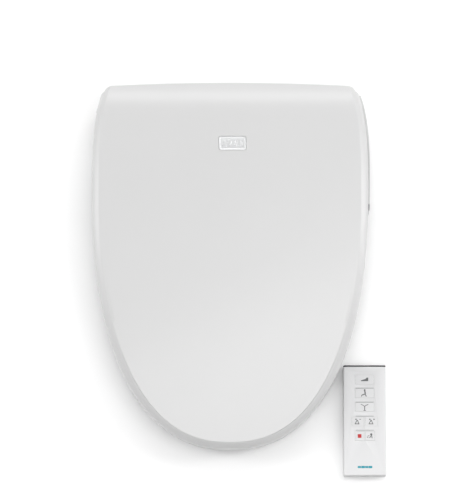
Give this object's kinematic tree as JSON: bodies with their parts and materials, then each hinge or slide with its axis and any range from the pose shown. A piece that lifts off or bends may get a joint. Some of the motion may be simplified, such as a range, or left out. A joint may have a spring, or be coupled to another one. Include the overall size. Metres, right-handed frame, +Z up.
{
  "type": "electric bidet seat",
  "caption": "Electric bidet seat: domed lid and heated seat ring on a rear housing with wash wands, dryer and odour filter, plus a hand remote with keys.",
  "frame": {"origin": "midpoint between the two bowl bolt holes, on the underside of the mounting plate, in the plane of the bowl rim", "axes": "+X to the sitter's left, where the side panel is; +Y to the rear; +Z up"},
  "size_m": [0.4226, 0.556, 0.132],
  "materials": {
    "lid_white": "satin white, polished plastic",
    "seat_white": "polished white plastic",
    "seat_base_white": "matt white plastic",
    "housing_white": "satin white plastic",
    "tray_grey": "moulded light grey plastic",
    "rubber": "soft grey rubber",
    "badge_silver": "brushed silver plating",
    "wand_white": "smooth white plastic",
    "gear_white": "natural acetal",
    "steel": "turned steel",
    "damper_black": "black damper body",
    "tank_clear": "milky heat-proof plastic",
    "valve_brass": "machined brass",
    "valve_grey": "glass-filled grey plastic",
    "tube_clear": "milky silicone tube",
    "heater_foil": "thin foil and fins",
    "board_green": "coated circuit board",
    "transformer_dark": "varnished laminations",
    "window_dark": "dark infrared window",
    "button_white": "matt white button",
    "remote_white": "fine matt white plastic",
    "key_white": "fine matt white plastic",
    "battery_foil": "plain cell jacket"
  },
  "bodies": {
    "base": {"base_tray": "tray_grey", "housing_cover": "housing_white", "nozzle_bay": "housing_white", "side_panel": "housing_white", "receiver_window": "window_dark", "mounting_plate": "tray_grey", "bolt_bushings": "steel", "rubber_feet": "rubber", "case_screws": "steel", "hinge_pins": "steel", "seat_damper": "damper_black", "lid_damper": "damper_black", "stepper_motors": "steel", "wand_cradle": "tray_grey", "blower_housing": "tray_grey", "blower_motor": "steel", "dryer_duct": "tray_grey", "dryer_heater": "heater_foil", "water_tank": "tank_clear", "inlet_valve": "valve_grey", "water_inlet_nipple": "valve_brass", "diverter_valve": "valve_grey", "water_tubes": "tube_clear", "deodorizer_frame": "tray_grey", "control_board": "board_green", "transformer": "transformer_dark", "cord_gland": "rubber"},
    "seat": {"seat_top_shell": "seat_white", "seat_bottom_shell": "seat_base_white", "seat_heater_foil": "heater_foil", "seat_bumpers": "rubber"},
    "lid": {"lid_shell": "lid_white", "lid_badge": "badge_silver", "lid_bumpers": "rubber"},
    "rear_wand": {"rear_wand": "wand_white", "rear_wand_tip": "wand_white"},
    "front_wand": {"front_wand": "wand_white", "front_wand_tip": "wand_white"},
    "rear_pinion": {"rear_pinion": "gear_white"},
    "front_pinion": {"front_pinion": "gear_white"},
    "blower_wheel": {"blower_wheel": "gear_white"},
    "deodorizer_fan": {"deodorizer_fan": "gear_white"},
    "dryer_flap": {"dryer_flap": "housing_white"},
    "release_button": {"release_button": "housing_white"},
    "filter_cartridge": {"filter_cartridge": "housing_white"},
    "side_button_1": {"side_button_1": "button_white"},
    "side_button_2": {"side_button_2": "button_white"},
    "remote": {"remote_front_shell": "remote_white", "remote_back_shell": "remote_white", "remote_window": "window_dark", "remote_board": "board_green", "remote_batteries": "battery_foil"},
    "battery_cover": {"battery_cover": "remote_white"},
    "dry_key": {"dry_key": "key_white"},
    "rear_wash_key": {"rear_wash_key": "key_white"},
    "front_wash_key": {"front_wash_key": "key_white"},
    "pressure_down_key": {"pressure_down_key": "key_white"},
    "pressure_up_key": {"pressure_up_key": "key_white"},
    "stop_key": {"stop_key": "key_white"},
    "mode_key": {"mode_key": "key_white"}
  },
  "joints": [
    {"name": "seat_hinge", "type": "hinge", "parent": "base", "child": "seat", "pos_m": [0, 0.022, 0.075], "axis": [1, 0, 0], "range_deg": [-95, 0]},
    {"name": "lid_hinge", "type": "hinge", "parent": "seat", "child": "lid", "pos_m": [0, 0.022, 0.075], "axis": [-1, 0, 0], "range_deg": [0, 95]},
    {"name": "rear_wand_slide", "type": "slide", "parent": "base", "child": "rear_wand", "axis": [0, -0.9903, -0.1392], "range_m": [0, 0.085]},
    {"name": "rear_pinion_spin", "type": "hinge", "parent": "base", "child": "rear_pinion", "pos_m": [-0.016, -0.06491, 0.04972], "axis": [-1, 0, 0], "range_deg": [0, 812]},
    {"name": "front_wand_slide", "type": "slide", "parent": "base", "child": "front_wand", "axis": [0, -0.9903, -0.1392], "range_m": [0, 0.085]},
    {"name": "front_pinion_spin", "type": "hinge", "parent": "base", "child": "front_pinion", "pos_m": [0.016, -0.06491, 0.04972], "axis": [-1, 0, 0], "range_deg": [0, 812]},
    {"name": "blower_spin", "type": "hinge", "parent": "base", "child": "blower_wheel", "pos_m": [0.048, -0.005, 0.05], "axis": [1, 0, 0], "continuous": true},
    {"name": "deodorizer_spin", "type": "hinge", "parent": "base", "child": "deodorizer_fan", "pos_m": [-0.1, -0.045, 0.028], "axis": [1, 0, 0], "continuous": true},
    {"name": "flap_hinge", "type": "hinge", "parent": "base", "child": "dryer_flap", "pos_m": [0.049, -0.157, 0.0315], "axis": [-1, 0, 0], "range_deg": [0, 60]},
    {"name": "release_press", "type": "slide", "parent": "base", "child": "release_button", "axis": [1, 0, 0], "range_m": [0, 0.004], "stiffness_N_per_m": 600},
    {"name": "cartridge_slide", "type": "slide", "parent": "base", "child": "filter_cartridge", "axis": [-1, 0, 0], "range_m": [0, 0.06]},
    {"name": "side_button_1_press", "type": "slide", "parent": "base", "child": "side_button_1", "axis": [-1, 0, 0], "range_m": [0, 0.0012], "stiffness_N_per_m": 400},
    {"name": "side_button_2_press", "type": "slide", "parent": "base", "child": "side_button_2", "axis": [-1, 0, 0], "range_m": [0, 0.0012], "stiffness_N_per_m": 400},
    {"name": "remote_lift", "type": "slide", "parent": "base", "child": "remote", "axis": [0, 0, 1], "range_m": [0, 0.25]},
    {"name": "battery_cover_slide", "type": "slide", "parent": "remote", "child": "battery_cover", "axis": [0, -1, 0], "range_m": [0, 0.05]},
    {"name": "dry_key_press", "type": "slide", "parent": "remote", "child": "dry_key", "axis": [0, 0, -1], "range_m": [0, 0.0008], "stiffness_N_per_m": 300},
    {"name": "rear_wash_key_press", "type": "slide", "parent": "remote", "child": "rear_wash_key", "axis": [0, 0, -1], "range_m": [0, 0.0008], "stiffness_N_per_m": 300},
    {"name": "front_wash_key_press", "type": "slide", "parent": "remote", "child": "front_wash_key", "axis": [0, 0, -1], "range_m": [0, 0.0008], "stiffness_N_per_m": 300},
    {"name": "pressure_down_key_press", "type": "slide", "parent": "remote", "child": "pressure_down_key", "axis": [0, 0, -1], "range_m": [0, 0.0008], "stiffness_N_per_m": 300},
    {"name": "pressure_up_key_press", "type": "slide", "parent": "remote", "child": "pressure_up_key", "axis": [0, 0, -1], "range_m": [0, 0.0008], "stiffness_N_per_m": 300},
    {"name": "stop_key_press", "type": "slide", "parent": "remote", "child": "stop_key", "axis": [0, 0, -1], "range_m": [0, 0.0008], "stiffness_N_per_m": 300},
    {"name": "mode_key_press", "type": "slide", "parent": "remote", "child": "mode_key", "axis": [0, 0, -1], "range_m": [0, 0.0008], "stiffness_N_per_m": 300}
  ],
  "couplings": [
    {"joint": "rear_pinion_spin", "follows": "rear_wand_slide", "rad_per_m": 166.67},
    {"joint": "front_pinion_spin", "follows": "front_wand_slide", "rad_per_m": 166.67}
  ]
}
